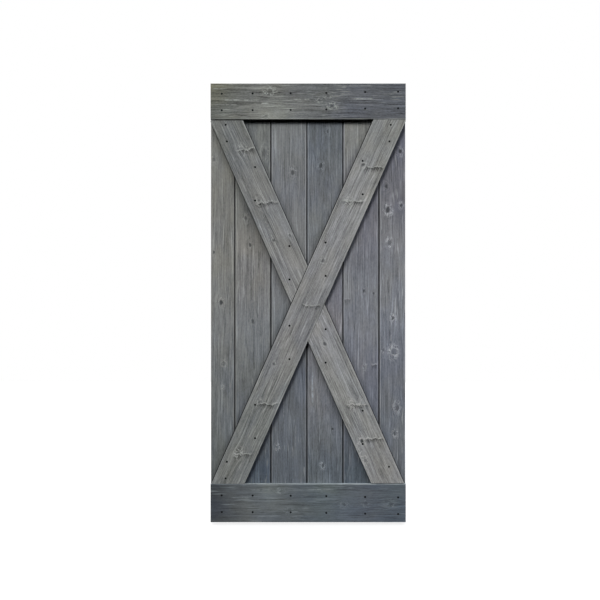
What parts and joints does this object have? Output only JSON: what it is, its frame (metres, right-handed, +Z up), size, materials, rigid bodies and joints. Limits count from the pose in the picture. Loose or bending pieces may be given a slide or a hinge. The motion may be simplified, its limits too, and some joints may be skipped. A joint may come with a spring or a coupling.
{
  "type": "sliding barn door",
  "caption": "Sliding barn door of grey-stained knotty pine: upright tongue-and-groove boards behind a top rail, a bottom rail and a crossed brace, all screwed from the front.",
  "frame": {"origin": "under the middle of the door, on the plane of its bottom edge and at half its thickness", "axes": "+X along the width, to the right as seen from the front; the front looks along -Y; +Z up"},
  "size_m": [0.949, 0.038, 2.134],
  "materials": {
    "left_edge_board": "grey wood stain, brushed grain, matt",
    "board_2": "grey wood stain, brushed grain, matt",
    "board_3": "grey wood stain, brushed grain, matt",
    "board_4": "grey wood stain, brushed grain, matt",
    "board_5": "grey wood stain, brushed grain, matt",
    "right_edge_board": "grey wood stain, brushed grain, matt",
    "top_rail": "grey wood stain, brushed grain, matt",
    "bottom_rail": "grey wood stain, brushed grain, matt",
    "long_brace": "grey wood stain, brushed grain, matt",
    "upper_half_brace": "grey wood stain, brushed grain, matt",
    "lower_half_brace": "grey wood stain, brushed grain, matt",
    "screws": "black phosphate on steel"
  },
  "bodies": {
    "root": {"left_edge_board": "left_edge_board", "board_2": "board_2", "board_3": "board_3", "board_4": "board_4", "board_5": "board_5", "right_edge_board": "right_edge_board", "top_rail": "top_rail", "bottom_rail": "bottom_rail", "long_brace": "long_brace", "upper_half_brace": "upper_half_brace", "lower_half_brace": "lower_half_brace", "top_rail_screws": "screws", "bottom_rail_screws": "screws", "long_brace_screws": "screws", "upper_brace_screws": "screws", "lower_brace_screws": "screws"}
  },
  "joints": []
}
